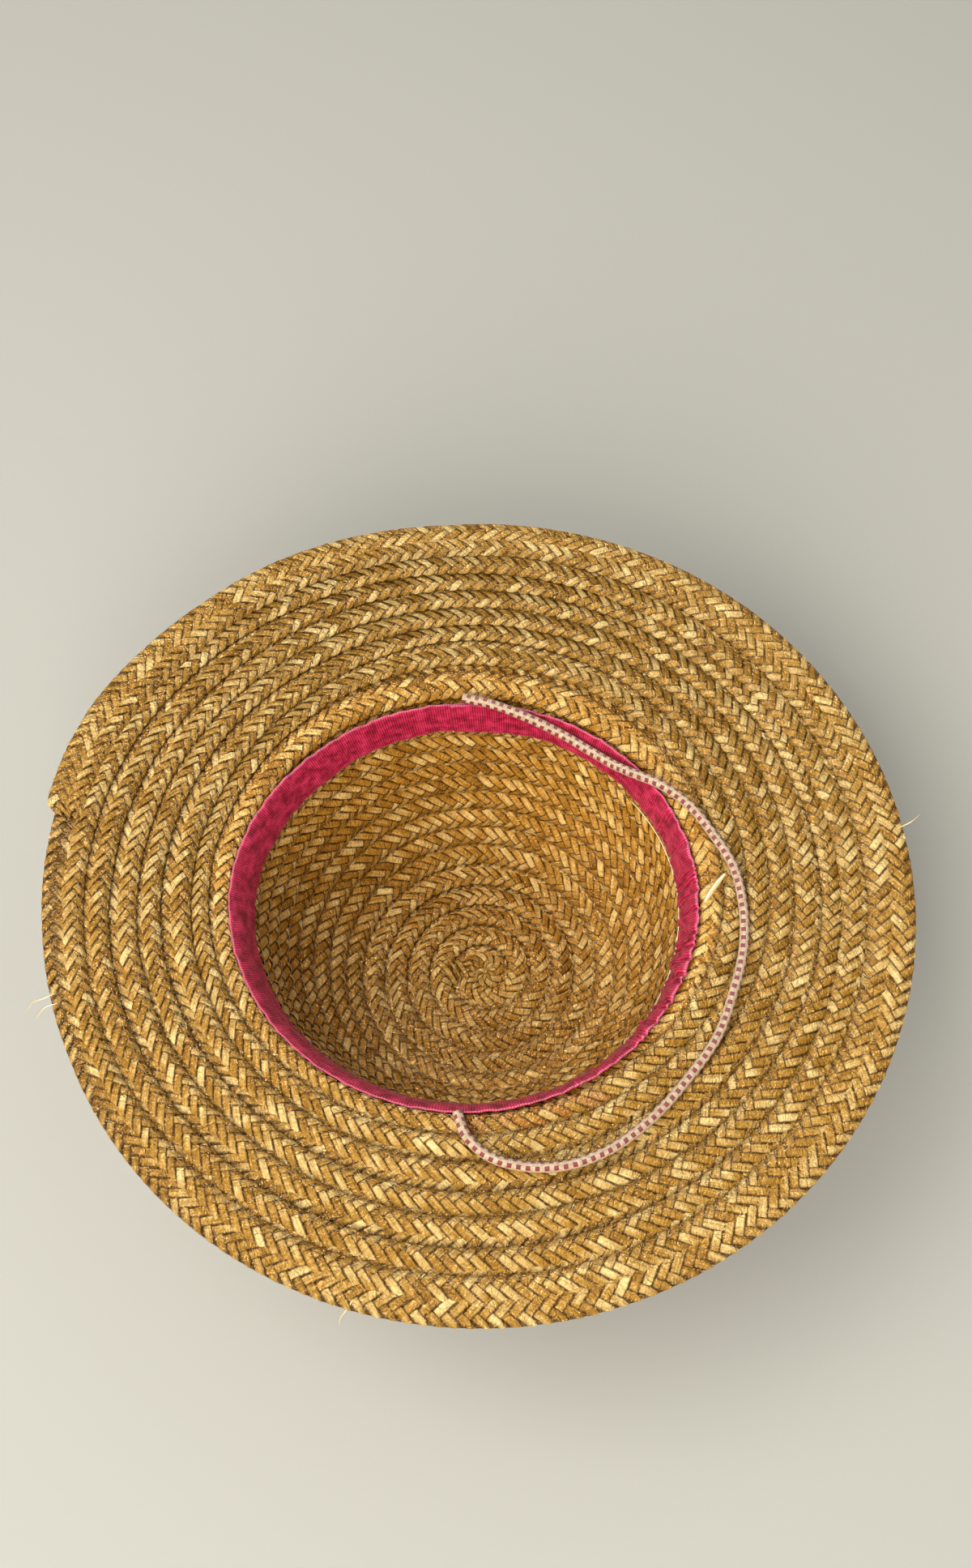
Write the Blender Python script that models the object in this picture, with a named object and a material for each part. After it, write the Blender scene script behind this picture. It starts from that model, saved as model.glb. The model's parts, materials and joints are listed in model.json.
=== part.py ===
"""A sun hat sewn from one spiral of straw braid, lying upside down on the tip of its crown.

Units are metres and +Z is up. The origin is on the surface that the hat lies on, under the middle of
the brim. +X runs along the longer way of the head opening. The hat is drawn as one section, from the
middle of the tip up the crown and out over the brim, which is then carried round the oval hat.
"""

import math

import bmesh
import bpy
import numpy as np

# The head opening and the brim are ovals, each given by its two full widths
HEAD_LENGTH = 0.1846
HEAD_WIDTH = 0.1744
BRIM_LENGTH = 0.3352
BRIM_WIDTH = 0.3332
# Where the head opening and the tip of the crown lie, from the middle of the brim
HEAD_X = -0.0051
HEAD_Y = -0.0009
TIP_X = 0.0019
TIP_Y = 0.0
# Heights above the surface: the crown reaches up to the head line, and the brim rises on from there
CROWN_HEIGHT = 0.0937
BRIM_RISE = 0.0064

# The sewn braid: one layer of it, and the rows in which it laps, closer on the crown than the brim
BRAID_THICKNESS = 0.0014
CROWN_ROW_PITCH = 0.0092
BRIM_ROW_PITCH = 0.0104
ROW_LAP = 0.0066
ROW_STEP = 0.0011
STEP_RUN = 0.0010
EDGE_ROW = 0.0155
# The braid ends on the brim's edge with a step. Azimuths run counter-clockwise from +X, seen from
# above. Its last turn swells the edge, and the swell fades inward with a power of the way out.
BRAID_END_AZIMUTH = math.radians(166.0)
BRAID_END_STEP = 0.0088
BRAID_END_RUN = math.radians(3.0)
SWELL_FADE = 6

# The ribbon sewn round the inside of the head opening
RIBBON_WIDTH = 0.0167
RIBBON_THICKNESS = 0.0010
RIBBON_PROUD = 0.0012
RIBBON_BEND = 0.0040
RIBBON_PUCKER = 0.0007
RIBBON_PUCKERS = 9
PUCKER_DRIFT = 0.9
PUCKER_DRIFTS = 3
RIBBON_JOIN_AZIMUTH = math.radians(84.0)
RIBBON_JOIN_LAP = math.radians(11.0)
RIBBON_JOIN_EASE = math.radians(9.0)

CORD_DIAMETER = 0.0038
CORD_POINT_SPACING = 2.6 * CORD_DIAMETER

# The gap between two pieces that touch, and the wider one under the ribbon, over faceted rows
GAP = 0.0003
RIBBON_GAP = 0.0005

# Outlines carried round the hat, for the straw walls and for the ribbon
STATIONS = 54
RIBBON_STATIONS = 84
SHARP_ANGLE = math.radians(25.0)

# The flat tip's radius, as a share of the head opening's mean radius
TIP_FLAT_SHARE = 0.440

# The side that touches the head. Each row: share of the head opening's mean radius, and share of
# the height from the inside of the tip to the head line.
CROWN_SECTION = (
    (0.000, 0.000),
    (TIP_FLAT_SHARE / 2, 0.000),
    (TIP_FLAT_SHARE, 0.000),
    (0.535, 0.012),
    (0.628, 0.068),
    (0.688, 0.147),
    (0.750, 0.235),
    (0.806, 0.325),
    (0.845, 0.420),
    (0.873, 0.520),
    (0.898, 0.620),
    (0.920, 0.720),
    (0.941, 0.820),
    (0.967, 0.910),
    (1.000, 0.974),
)
# The brim's upper side as it lies. Each row: share of the way from the head opening's mean radius to
# the edge, and share of the brim's rise.
BRIM_SECTION = (
    (0.070, 0.00),
    (0.200, 0.10),
    (0.500, 0.42),
    (0.800, 0.78),
    (1.000, 1.00),
)
# How far the last turn of braid swells the brim's edge. Each row: degrees before the braid's end, and
# share of the step there.
EDGE_SWELL = (
    (71.0, 0.00),
    (56.0, 0.28),
    (45.0, 0.48),
    (34.0, 0.58),
    (24.0, 0.76),
    (13.0, 1.00),
    (6.0, 0.98),
    (0.0, 0.88),
)
# The chin cord's middle line, in metres: from the far end of the ribbon's top, down over the ribbon,
# out over its edge and round on the brim, back to the near end
CORD_ROUTE = (
    (-0.0075, 0.0842, 0.0970),
    (0.0040, 0.0816, 0.0966),
    (0.0155, 0.0776, 0.0952),
    (0.0252, 0.0738, 0.0932),
    (0.0352, 0.0691, 0.0910),
    (0.0450, 0.0629, 0.0902),
    (0.0545, 0.0560, 0.0914),
    (0.0625, 0.0498, 0.0957),
    (0.0705, 0.0452, 0.0976),
    (0.0829, 0.0359, 0.0966),
    (0.0917, 0.0228, 0.0973),
    (0.0988, 0.0086, 0.0980),
    (0.1016, -0.0082, 0.0978),
    (0.1010, -0.0234, 0.0976),
    (0.0957, -0.0432, 0.0980),
    (0.0886, -0.0608, 0.0982),
    (0.0772, -0.0764, 0.0982),
    (0.0615, -0.0932, 0.0984),
    (0.0463, -0.1041, 0.0989),
    (0.0315, -0.1094, 0.0989),
    (0.0168, -0.1098, 0.0984),
    (0.0021, -0.1053, 0.0982),
    (-0.0053, -0.0979, 0.0978),
    (-0.0085, -0.0889, 0.0960),
)

HEAD_RADIUS = (HEAD_LENGTH + HEAD_WIDTH) / 4
BRIM_RADIUS = (BRIM_LENGTH + BRIM_WIDTH) / 4
HEAD_OVAL = (HEAD_LENGTH - HEAD_WIDTH) / (HEAD_LENGTH + HEAD_WIDTH)
BRIM_OVAL = (BRIM_LENGTH - BRIM_WIDTH) / (BRIM_LENGTH + BRIM_WIDTH)
TIP_LEVEL = BRAID_THICKNESS + ROW_STEP


def smooth_line(points, steps=600):
    """A smooth curve through points, each span a cubic whose end slopes come from its neighbours."""
    points = np.asarray(points, float)
    chord = np.linalg.norm(np.diff(points, axis=0), axis=1)
    along = np.concatenate([[0], np.cumsum(chord)])
    slope = np.gradient(points, along, axis=0)
    t = np.linspace(0, along[-1], steps)
    i = np.clip(np.searchsorted(along, t, side="right") - 1, 0, len(chord) - 1)
    u = ((t - along[i]) / chord[i])[:, None]
    span = chord[i][:, None]
    near = (1 + 2 * u) * (1 - u) ** 2 * points[i] + u * (1 - u) ** 2 * span * slope[i]
    far = u**2 * (3 - 2 * u) * points[i + 1] + u**2 * (u - 1) * span * slope[i + 1]
    return near + far


def length_along(line):
    """The length run at each point of a line."""
    return np.concatenate([[0], np.cumsum(np.linalg.norm(np.diff(line, axis=0), axis=1))])


def section_line():
    """The hat's drawn section as (radius, height) points, with the length run at each."""
    depth = CROWN_HEIGHT - TIP_LEVEL
    reach = BRIM_RADIUS - HEAD_RADIUS
    crown = [(HEAD_RADIUS * r, TIP_LEVEL + depth * h) for r, h in CROWN_SECTION]
    brim = [(HEAD_RADIUS + reach * r, CROWN_HEIGHT + BRIM_RISE * h) for r, h in BRIM_SECTION]
    line = smooth_line(crown + brim)
    line[:, 1] = np.maximum(line[:, 1], TIP_LEVEL)
    return line, length_along(line)


SECTION, SECTION_RUN = section_line()
SECTION_LENGTH = SECTION_RUN[-1]
HEAD_LINE = float(np.interp(HEAD_RADIUS, SECTION[:, 0], SECTION_RUN))
TIP_FLAT = float(np.interp(HEAD_RADIUS * TIP_FLAT_SHARE, SECTION[:, 0], SECTION_RUN))


def section_point(run, off):
    """(radius, height) at a length along the section, moved off it towards the head's side."""
    at = np.array([np.interp(run, SECTION_RUN, SECTION[:, k]) for k in (0, 1)])
    slope = np.gradient(SECTION, SECTION_RUN, axis=0)
    ahead = np.array([np.interp(run, SECTION_RUN, slope[:, k]) for k in (0, 1)])
    ahead = ahead / np.linalg.norm(ahead)
    return at + off * np.array([-ahead[1], ahead[0]])


def edge_swell(azimuth):
    """How much further the brim's edge reaches at an azimuth, for the braid's last turn."""
    before, shares = zip(*EDGE_SWELL[::-1])
    left = math.degrees(BRAID_END_AZIMUTH - azimuth) % 360
    past = 360 - math.degrees(BRAID_END_RUN)
    return BRAID_END_STEP * np.interp(left, before + (past, 360.0), shares + (0.0, shares[0]))


def place(radius, height, azimuth):
    """The point of the hat at a section's radius and height, carried round to an azimuth."""
    out = max((radius - HEAD_RADIUS) / (BRIM_RADIUS - HEAD_RADIUS), 0.0)
    up = min(max(height / CROWN_HEIGHT, 0.0), 1.0)
    oval = HEAD_OVAL * up * (1 - out) + BRIM_OVAL * out
    middle_x = (TIP_X + (HEAD_X - TIP_X) * up) * (1 - out)
    middle_y = (TIP_Y + (HEAD_Y - TIP_Y) * up) * (1 - out)
    reach = radius + edge_swell(azimuth) * out**SWELL_FADE
    x = middle_x + reach * (1 + oval) * math.cos(azimuth)
    y = middle_y + reach * (1 - oval) * math.sin(azimuth)
    return (x, y, height)


def row_edges():
    """Lengths along the section at which the rows of braid begin, on the crown and then on the brim."""
    crown_rows = round(HEAD_LINE / CROWN_ROW_PITCH)
    brim_run = SECTION_LENGTH - EDGE_ROW - HEAD_LINE
    brim_rows = round(brim_run / BRIM_ROW_PITCH)
    crown = np.linspace(0, HEAD_LINE, crown_rows + 1)
    brim = np.linspace(HEAD_LINE, SECTION_LENGTH - EDGE_ROW, brim_rows + 1)
    return np.concatenate([crown, brim[1:]])


def head_side_relief(edges):
    """(length, offset) corners of the side that touches the head: each row steps up over the last."""
    corners = []
    for start, end in zip(edges, list(edges[1:]) + [SECTION_LENGTH]):
        corners.append((start + STEP_RUN, ROW_STEP if start > 0 else 0.0))
        corners.append((end, 0.0))
    return corners


def outer_side_relief(edges):
    """(length, offset) corners of the outer side: each row slopes down to its edge over the next."""
    corners = []
    for end in edges[1:]:
        edge = end + ROW_LAP
        if edge < TIP_FLAT:
            continue
        corners.append((edge, -BRAID_THICKNESS - ROW_STEP))
        corners.append((edge + STEP_RUN, -BRAID_THICKNESS))
    return [(TIP_FLAT, -BRAID_THICKNESS - ROW_STEP)] + corners


def wall_section(start, end):
    """The closed outline of the straw wall between two lengths: up one side and back along the other."""
    edges = row_edges()
    sides = []
    for corners in (head_side_relief(edges), outer_side_relief(edges)):
        run, off = zip(*corners)
        kept = [r for r in run if start + STEP_RUN < r < end - STEP_RUN]
        runs = [start] + kept + [end]
        sides.append([section_point(r, np.interp(r, run, off)) for r in runs])
    return sides[0] + sides[1][::-1]


def carried_round(name, outlines, whole_turn=True, closed_outline=True):
    """A solid from one outline for each station round the hat, each joined to the next.

    A loft by hand, because the ovals of the tip, the head opening and the brim are unlike and lie
    off each other's middles. An outline that isn't closed has both its ends on the hat's middle.
    """
    count = len(outlines[0])
    spans = len(outlines) if whole_turn else len(outlines) - 1
    faces = []
    for station in range(spans):
        here = station * count
        there = (station + 1) % len(outlines) * count
        for k in range(count if closed_outline else count - 1):
            following = (k + 1) % count
            faces.append((here + k, there + k, there + following, here + following))
    if not whole_turn:
        faces.append(tuple(range(count)))
        faces.append(tuple(range(count * len(outlines) - 1, count * spans - 1, -1)))
    mesh = bpy.data.meshes.new(name)
    mesh.from_pydata([point for outline in outlines for point in outline], [], faces)
    work = bmesh.new()
    work.from_mesh(mesh)
    bmesh.ops.remove_doubles(work, verts=work.verts, dist=1e-6)
    bmesh.ops.recalc_face_normals(work, faces=work.faces)
    work.to_mesh(mesh)
    work.free()
    mesh.shade_smooth()
    mesh.set_sharp_from_angle(angle=SHARP_ANGLE)
    return bpy.data.objects.new(name, mesh)


def wall(name, start, end):
    """The straw wall between two lengths along the section, all the way round."""
    section = wall_section(start, end)
    first = BRAID_END_AZIMUTH + BRAID_END_RUN
    turns = np.linspace(first, BRAID_END_AZIMUTH + math.tau, STATIONS)
    outlines = [[place(radius, height, turn) for radius, height in section] for turn in turns]
    return carried_round(name, outlines, closed_outline=start > 0)


def crown():
    return wall("crown", 0.0, HEAD_LINE - GAP / 2)


def brim():
    return wall("brim", HEAD_LINE + GAP / 2, SECTION_LENGTH)


def ribbon_outline(azimuth, lift):
    """The ribbon's thin outline at an azimuth: flat on the crown, straight on past the brim's bend."""
    low = HEAD_LINE - (RIBBON_WIDTH - RIBBON_PROUD)
    bend = HEAD_LINE - RIBBON_BEND
    phase = RIBBON_PUCKERS * azimuth + PUCKER_DRIFT * math.sin(PUCKER_DRIFTS * azimuth)
    wave = (1 + math.sin(phase)) / 2
    sides = []
    for depth in (0.0, RIBBON_THICKNESS):
        off = ROW_STEP + RIBBON_GAP + lift + depth
        side = [section_point(run, off) for run in np.linspace(low, bend, 3)]
        ahead = (side[-1] - side[-2]) / np.linalg.norm(side[-1] - side[-2])
        inward = np.array([-ahead[1], ahead[0]]) * RIBBON_PUCKER * wave
        side.append(side[-1] + ahead * (RIBBON_WIDTH - (bend - low)) + inward)
        sides.append([place(radius, height, azimuth) for radius, height in side])
    return sides[0] + sides[1][::-1]


def sweatband():
    """One length of ribbon round the inside of the opening, whose end laps over its start."""
    start = RIBBON_JOIN_AZIMUTH
    turns = np.linspace(start, start + math.tau + RIBBON_JOIN_LAP, RIBBON_STATIONS)
    outlines = []
    for turn in turns:
        eased = (turn - start - math.tau + RIBBON_JOIN_EASE) / RIBBON_JOIN_EASE
        lift = (RIBBON_THICKNESS + RIBBON_GAP) * min(max(eased, 0.0), 1.0)
        outlines.append(ribbon_outline(turn, lift))
    return carried_round("sweatband", outlines, whole_turn=False)


def chin_cord():
    """The elastic cord as a tube on its route, its points evenly spaced on a smooth curve."""
    line = smooth_line(CORD_ROUTE)
    run = length_along(line)
    count = round(run[-1] / CORD_POINT_SPACING) + 1
    at = np.linspace(0, run[-1], count)
    curve = bpy.data.curves.new("chin_cord", "CURVE")
    curve.dimensions = "3D"
    curve.bevel_depth = CORD_DIAMETER / 2
    curve.bevel_resolution = 2
    curve.use_fill_caps = True
    spline = curve.splines.new("POLY")
    spline.points.add(count - 1)
    for point, here in zip(spline.points, at):
        point.co = (*(np.interp(here, run, line[:, k]) for k in range(3)), 1.0)
    return bpy.data.objects.new("chin_cord", curve)


def material(name, colour, roughness):
    """A plain dielectric finish with a linear colour."""
    made = bpy.data.materials.new(name)
    made.use_nodes = True
    shader = made.node_tree.nodes["Principled BSDF"]
    shader.inputs["Base Color"].default_value = (*colour, 1.0)
    shader.inputs["Roughness"].default_value = roughness
    shader.inputs["Metallic"].default_value = 0.0
    return made


def main():
    for old in list(bpy.data.objects):
        bpy.data.objects.remove(old)
    hat = bpy.data.collections.new("sun_hat")
    bpy.context.scene.collection.children.link(hat)
    middle = bpy.data.objects.new("hat_middle", None)
    hat.objects.link(middle)
    pieces = (
        (crown(), material("straw_crown", (0.50, 0.30, 0.08), 0.45)),
        (brim(), material("straw_brim", (0.58, 0.37, 0.11), 0.45)),
        (sweatband(), material("pink_ribbon", (0.53, 0.04, 0.16), 0.70)),
        (chin_cord(), material("elastic_cord", (0.73, 0.63, 0.52), 0.80)),
    )
    for piece, finish in pieces:
        piece.data.materials.append(finish)
        piece.parent = middle
        hat.objects.link(piece)


main()
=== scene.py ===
# %% [markdown]
# # A straw sun hat, plaited splint by splint
#
# The hat is sewn from one long plait of split wheat straw, wound in a spiral from the middle of the
# crown's tip out to the brim's edge. It lies upside down on its crown, so we look into it. A woven
# pattern in a shader never shows the glints and the shadows under each splint, so this lesson
# plaits the straw as geometry. Seven flat splints cross over and under each other on a straight
# ruler, and the ruler is then wound on to the hat's own surface.

import json
import math

import bpy
import numpy as np
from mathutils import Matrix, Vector

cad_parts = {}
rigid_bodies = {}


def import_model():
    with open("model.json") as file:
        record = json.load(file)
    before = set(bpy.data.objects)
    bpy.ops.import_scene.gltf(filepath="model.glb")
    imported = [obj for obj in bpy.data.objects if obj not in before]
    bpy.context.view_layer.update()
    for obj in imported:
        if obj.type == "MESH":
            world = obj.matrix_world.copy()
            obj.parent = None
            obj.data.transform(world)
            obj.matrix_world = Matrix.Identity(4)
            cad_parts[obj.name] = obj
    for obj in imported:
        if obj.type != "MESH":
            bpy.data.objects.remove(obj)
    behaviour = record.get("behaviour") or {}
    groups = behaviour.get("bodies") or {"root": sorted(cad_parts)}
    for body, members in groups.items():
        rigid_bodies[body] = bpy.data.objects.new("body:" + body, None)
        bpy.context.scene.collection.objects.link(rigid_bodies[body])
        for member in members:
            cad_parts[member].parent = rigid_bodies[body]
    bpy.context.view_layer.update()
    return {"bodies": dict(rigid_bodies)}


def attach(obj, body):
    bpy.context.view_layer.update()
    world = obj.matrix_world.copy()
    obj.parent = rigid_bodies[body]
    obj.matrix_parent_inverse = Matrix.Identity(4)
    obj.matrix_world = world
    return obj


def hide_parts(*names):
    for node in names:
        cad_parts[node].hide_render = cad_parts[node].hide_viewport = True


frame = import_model()

# %% [markdown]
# ## Camera
#
# The picture looks down into the hat at 64 degrees. The distance follows from how much smaller the
# far side of the brim looks than the near side.

# %% The camera
CAMERA_AT = Vector((0.0021, -0.2766, 0.7594))
CAMERA_AIM = Vector((0.0021, 0.0466, 0.0937))

camera = bpy.data.cameras.new("camera")
camera.sensor_width = 36.0
camera.lens = 42.3
camera_object = bpy.data.objects.new("camera", camera)
camera_object.location = CAMERA_AT
camera_object.rotation_euler = (CAMERA_AIM - CAMERA_AT).to_track_quat("-Z", "Y").to_euler()
bpy.context.scene.collection.objects.link(camera_object)
bpy.context.scene.camera = camera_object

# %% [markdown]
# ## The hat's own surface
#
# Everything on this hat lies on one surface: a drawn section, carried round an oval. The same few
# numbers give the solids, so a splint, a stitch or the ribbon can be told where to lie by how far it
# is along the section, how far off it, and how far round.

# %% Sizes and the section
HEAD_RADIUS = 0.08975
BRIM_RADIUS = 0.1671
# An oval's share is the difference of its two widths over their sum
HEAD_OVAL = 0.0102 / 0.3590
BRIM_OVAL = 0.0020 / 0.6684
HEAD_X = -0.0051
HEAD_Y = -0.0009
TIP_X = 0.0019
TIP_LEVEL = 0.0025
CROWN_HEIGHT = 0.0937
BRIM_RISE = 0.0064
SWELL_POWER = 6

# Shares of the head's radius and of the crown's depth, and then of the brim's width and rise
CROWN_SECTION = (
    (0.000, 0.000),
    (0.220, 0.000),
    (0.440, 0.000),
    (0.535, 0.012),
    (0.628, 0.068),
    (0.688, 0.147),
    (0.750, 0.235),
    (0.806, 0.325),
    (0.845, 0.420),
    (0.873, 0.520),
    (0.898, 0.620),
    (0.920, 0.720),
    (0.941, 0.820),
    (0.967, 0.910),
    (1.000, 0.974),
)
BRIM_SECTION = (
    (0.070, 0.00),
    (0.200, 0.10),
    (0.500, 0.42),
    (0.800, 0.78),
    (1.000, 1.00),
)


def smooth_line(points, steps=600):
    """A line through points, in even steps along them.

    Each span is a cubic, (1 + 2u)(1 - u)^2 p + u(1 - u)^2 s + u^2 (3 - 2u) q + u^2 (u - 1) t, from the
    points p and q at its ends and the slopes s and t there, which come from the neighbouring points.
    """
    points = np.asarray(points, float)
    chord = np.linalg.norm(np.diff(points, axis=0), axis=1)
    along = np.concatenate([[0], np.cumsum(chord)])
    slope = np.gradient(points, along, axis=0)
    t = np.linspace(0, along[-1], steps)
    i = np.clip(np.searchsorted(along, t, side="right") - 1, 0, len(chord) - 1)
    u = ((t - along[i]) / chord[i])[:, None]
    span = chord[i][:, None]
    near = (1 + 2 * u) * (1 - u) ** 2 * points[i] + u * (1 - u) ** 2 * span * slope[i]
    far = u**2 * (3 - 2 * u) * points[i + 1] + u**2 * (u - 1) * span * slope[i + 1]
    return near + far


def length_along(line):
    """The length run at each point of a line: the sum of the steps before it."""
    return np.concatenate([[0], np.cumsum(np.linalg.norm(np.diff(line, axis=0), axis=1))])


def section_line():
    """The hat's section as (radius, height), with one straight piece of 12 steps past the brim's edge."""
    depth = CROWN_HEIGHT - TIP_LEVEL
    reach = BRIM_RADIUS - HEAD_RADIUS
    crown = [(HEAD_RADIUS * r, TIP_LEVEL + depth * h) for r, h in CROWN_SECTION]
    brim = [(HEAD_RADIUS + reach * r, CROWN_HEIGHT + BRIM_RISE * h) for r, h in BRIM_SECTION]
    line = smooth_line(crown + brim)
    line[:, 1] = np.maximum(line[:, 1], TIP_LEVEL)
    past = line[-1] + (line[-1] - line[-2]) * 12
    return np.vstack([line, past])


SECTION = section_line()
SECTION_RUN = length_along(SECTION)
SECTION_SLOPE = np.gradient(SECTION, SECTION_RUN, axis=0)
SECTION_LENGTH = SECTION_RUN[-2]
HEAD_LINE = float(np.interp(HEAD_RADIUS, SECTION[:, 0], SECTION_RUN))
print(f"section {SECTION_LENGTH * 1000:.1f} mm, head line at {HEAD_LINE * 1000:.1f} mm")


def on_hat(run, off, azimuth, swell=0.0):
    """Points of the hat from a length along the section, a lift off it towards the head, an azimuth.

    The section's circle is stretched to an oval that fades from the head's to the brim's, and its
    middle slides from the tip's to the head opening's and back. swell is added near the brim's edge.
    """
    radius = np.interp(run, SECTION_RUN, SECTION[:, 0])
    height = np.interp(run, SECTION_RUN, SECTION[:, 1])
    ahead_r = np.interp(run, SECTION_RUN, SECTION_SLOPE[:, 0])
    ahead_z = np.interp(run, SECTION_RUN, SECTION_SLOPE[:, 1])
    length = np.hypot(ahead_r, ahead_z)
    radius = radius - off * ahead_z / length
    height = height + off * ahead_r / length
    out = np.maximum((radius - HEAD_RADIUS) / (BRIM_RADIUS - HEAD_RADIUS), 0.0)
    up = np.clip(height / CROWN_HEIGHT, 0.0, 1.0)
    oval = HEAD_OVAL * up * (1 - out) + BRIM_OVAL * out
    middle_x = (TIP_X + (HEAD_X - TIP_X) * up) * (1 - out)
    middle_y = HEAD_Y * up * (1 - out)
    reach = radius + swell * out**SWELL_POWER
    x = middle_x + reach * (1 + oval) * np.cos(azimuth)
    y = middle_y + reach * (1 - oval) * np.sin(azimuth)
    return np.stack(np.broadcast_arrays(x, y, height), axis=-1)


# %% [markdown]
# ## Small helpers
#
# One function builds a mesh from whole arrays, one adds a node with its settings and links, and one
# turns a colour as a screen shows it into the linear light that Cycles counts in. The others spare
# the lines that every material or piece begins with.

# %% Helpers for meshes and materials
MATH = "ShaderNodeMath"
MIX = "ShaderNodeMix"
# Settings of a math node that scales and then adds, and of a mix node that blends two colours
SCALED = {"operation": "MULTIPLY_ADD"}
COLOURS = {"data_type": "RGBA"}


def linear(code):
    """A colour such as #c99a4a as linear red, green, blue and full alpha."""
    srgb = np.array([int(code[k : k + 2], 16) / 255 for k in (1, 3, 5)])
    light = np.where(srgb <= 0.04045, srgb / 12.92, ((srgb + 0.055) / 1.055) ** 2.4)
    return (*light.tolist(), 1.0)


def node(tree, kind, settings=None, **links):
    """Add one node. settings go to its own fields, and each of links is a socket's value or source.

    A socket goes by its name, with _ for a space, or by i and its number where names are shared.
    """
    made = tree.nodes.new(kind)
    for field, value in (settings or {}).items():
        setattr(made, field, value)
    for socket, value in links.items():
        key = int(socket[1:]) if socket[1:].isdigit() and socket[0] == "i" else socket.replace("_", " ")
        target = made.inputs[key]
        if isinstance(value, bpy.types.NodeSocket):
            tree.links.new(value, target)
        else:
            target.default_value = value
    return made


def grid_mesh(name, points, quads, uvs=None):
    """A mesh from an array of points, an array of four-cornered faces, and UVs for each corner."""
    mesh = bpy.data.meshes.new(name)
    mesh.vertices.add(len(points))
    mesh.vertices.foreach_set("co", np.asarray(points, np.float32).ravel())
    mesh.loops.add(len(quads) * 4)
    mesh.loops.foreach_set("vertex_index", np.asarray(quads, np.int32).ravel())
    mesh.polygons.add(len(quads))
    mesh.polygons.foreach_set("loop_start", np.arange(0, len(quads) * 4, 4, dtype=np.int32))
    for layer, values in (uvs or {}).items():
        made = mesh.uv_layers.new(name=layer)
        made.uv.foreach_set("vector", np.asarray(values, np.float32).ravel())
    mesh.update(calc_edges=True)
    mesh.validate()
    mesh.shade_smooth()
    return mesh


def principled(name):
    """A new material, its tree of nodes and its principled shader."""
    made = bpy.data.materials.new(name)
    made.use_nodes = True
    return made, made.node_tree, made.node_tree.nodes["Principled BSDF"]


def plain_material(name, colour, roughness):
    """A material with one colour and one roughness all over."""
    made, _tree, shader = principled(name)
    shader.inputs["Base Color"].default_value = linear(colour)
    shader.inputs["Roughness"].default_value = roughness
    return made


def set_stops(ramp, *stops):
    """Give a colour ramp its stops, each a position and a colour code, from low to high."""
    made = ramp.color_ramp.elements
    made[0].position, made[1].position = stops[0][0], stops[-1][0]
    made[0].color, made[1].color = linear(stops[0][1]), linear(stops[-1][1])
    for position, code in stops[1:-1]:
        made.new(position).color = linear(code)


BODY = sorted(frame["bodies"])[0]


def piece(name, mesh, material, stands_for):
    """An object at the origin, riding on the hat's one body, in place of the CAD node named."""
    made = bpy.data.objects.new(name, mesh)
    bpy.context.scene.collection.objects.link(made)
    mesh.materials.append(material)
    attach(made, BODY)
    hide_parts(stands_for)
    print(f"{name}: {len(mesh.polygons) * 2} triangles, for {stands_for}")
    return made


# %% [markdown]
# ## The spiral
#
# The plait is laid down counter-clockwise, each new turn on top of the last one's outer half. On the
# crown the turns are even. On the brim they are not: the sewer let them creep outwards on the far
# side and back again, and the innermost turn shows its whole width there. So the brim's turns come
# from a short table, read at each quarter turn, which starts at the left.

# %% Where each turn's inner edge runs
PLAIT_WIDTH = 0.0158
END_TURN = 22 + 350.5 / 360
# From here on no turn lies above the plait
LAST_TURN = 21.9
# A line through turns and lengths counts a metre as so many turns, which makes its curve even
TURNS_PER_METRE = 60
# The tip is pressed on the table below this height
PRESSED_UNDER = 0.0012
# Turns on the crown's tip, and millimetres along the section from its middle to the inner edge there
TIP_TURNS = (
    (0.00, 0.6),
    (0.50, 0.8),
    (0.75, 1.6),
    (1.00, 4.0),
    (1.25, 7.0),
    (1.50, 10.0),
    (2.00, 15.0),
)
# Millimetres past the head line at 180, 270, 0 and 90 degrees round, from turn 15.5 on
BRIM_TURNS = (
    (-4.0, 0.8),
    (0.0, 0.5, 8.2, 15.2),
    (10.0, 9.8, 16.6, 26.0),
    (17.6, 19.7, 24.9, 33.0),
    (30.2, 31.0, 34.1, 41.0),
    (39.9, 39.8, 44.0, 48.5),
    (51.2, 51.0, 50.6, 55.6),
    (62.1, 61.2, 60.6, 64.2),
    (66.6,),
)


def spiral_table():
    """Turns and the inner edge's lengths along the section there, in metres."""
    tip_turn, tip_edge = zip(*TIP_TURNS)
    brim_edge = np.array([edge for row in BRIM_TURNS for edge in row]) / 1000 + HEAD_LINE
    brim_turn = 15.5 + 0.25 * np.arange(len(brim_edge))
    middle_turn = np.arange(3, 15)
    tip_end = tip_edge[-1] / 1000
    share = (middle_turn - 2) / 13.5
    middle_edge = tip_end + (brim_edge[0] - tip_end) * share
    turn = np.concatenate([tip_turn, middle_turn, brim_turn])
    edge = np.concatenate([np.array(tip_edge) / 1000, middle_edge, brim_edge])
    return turn, edge


def waves(at, lengths, seed):
    """Smooth noise between -1 and 1: a sum of sines of unlike lengths and chance phases."""
    chance = np.random.default_rng(seed)
    total = sum(np.sin(at / length * math.tau + chance.uniform(0, math.tau)) for length in lengths)
    return total / len(lengths)


TURN_KNOTS, EDGE_KNOTS = spiral_table()
EDGE_LINE = smooth_line(np.stack([TURN_KNOTS, EDGE_KNOTS * TURNS_PER_METRE], axis=1), 6000)
EDGE_LINE[:, 1] /= TURNS_PER_METRE


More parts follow.
